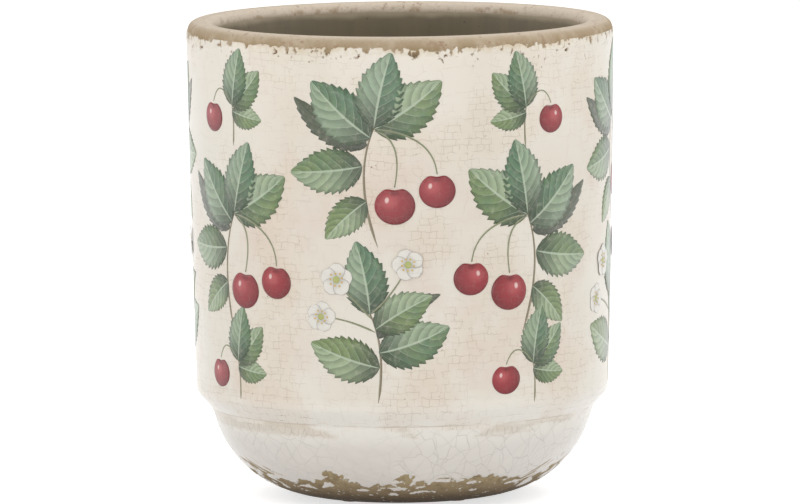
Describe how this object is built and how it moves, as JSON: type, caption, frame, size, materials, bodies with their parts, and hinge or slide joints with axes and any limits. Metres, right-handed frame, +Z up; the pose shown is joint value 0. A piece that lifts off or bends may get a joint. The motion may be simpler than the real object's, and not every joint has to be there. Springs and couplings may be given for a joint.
{
  "type": "flower pot",
  "caption": "Round ceramic flower pot with a straight glazed wall, bare rounded lip, stepped shoulder and bowl base, standing on cork pads, with a drain hole closed by a rubber plug.",
  "frame": {"origin": "on the ground under the pot's axis, level with the bottoms of the cork pads", "axes": "+Z up along the pot's axis of turning, +Y towards the back of the picture, +X to its right"},
  "size_m": [0.16, 0.16, 0.179],
  "materials": {
    "clay": "bare fired clay",
    "cream_glaze": "satin crackle glaze",
    "inner_glaze": "thin satin sealing glaze",
    "plug_rubber": "matte rubber",
    "pad_cork": "fine cork"
  },
  "bodies": {
    "pot": {"pot_body": "clay", "outer_glaze": "cream_glaze", "inner_glaze": "inner_glaze", "foot_pad_1": "pad_cork", "foot_pad_2": "pad_cork", "foot_pad_3": "pad_cork", "foot_pad_4": "pad_cork"},
    "plug": {"drain_plug": "plug_rubber"}
  },
  "joints": [
    {"name": "drain_plug_lift", "type": "slide", "parent": "pot", "child": "plug", "axis": [0, 0, 1], "range_m": [0, 0.19]}
  ]
}
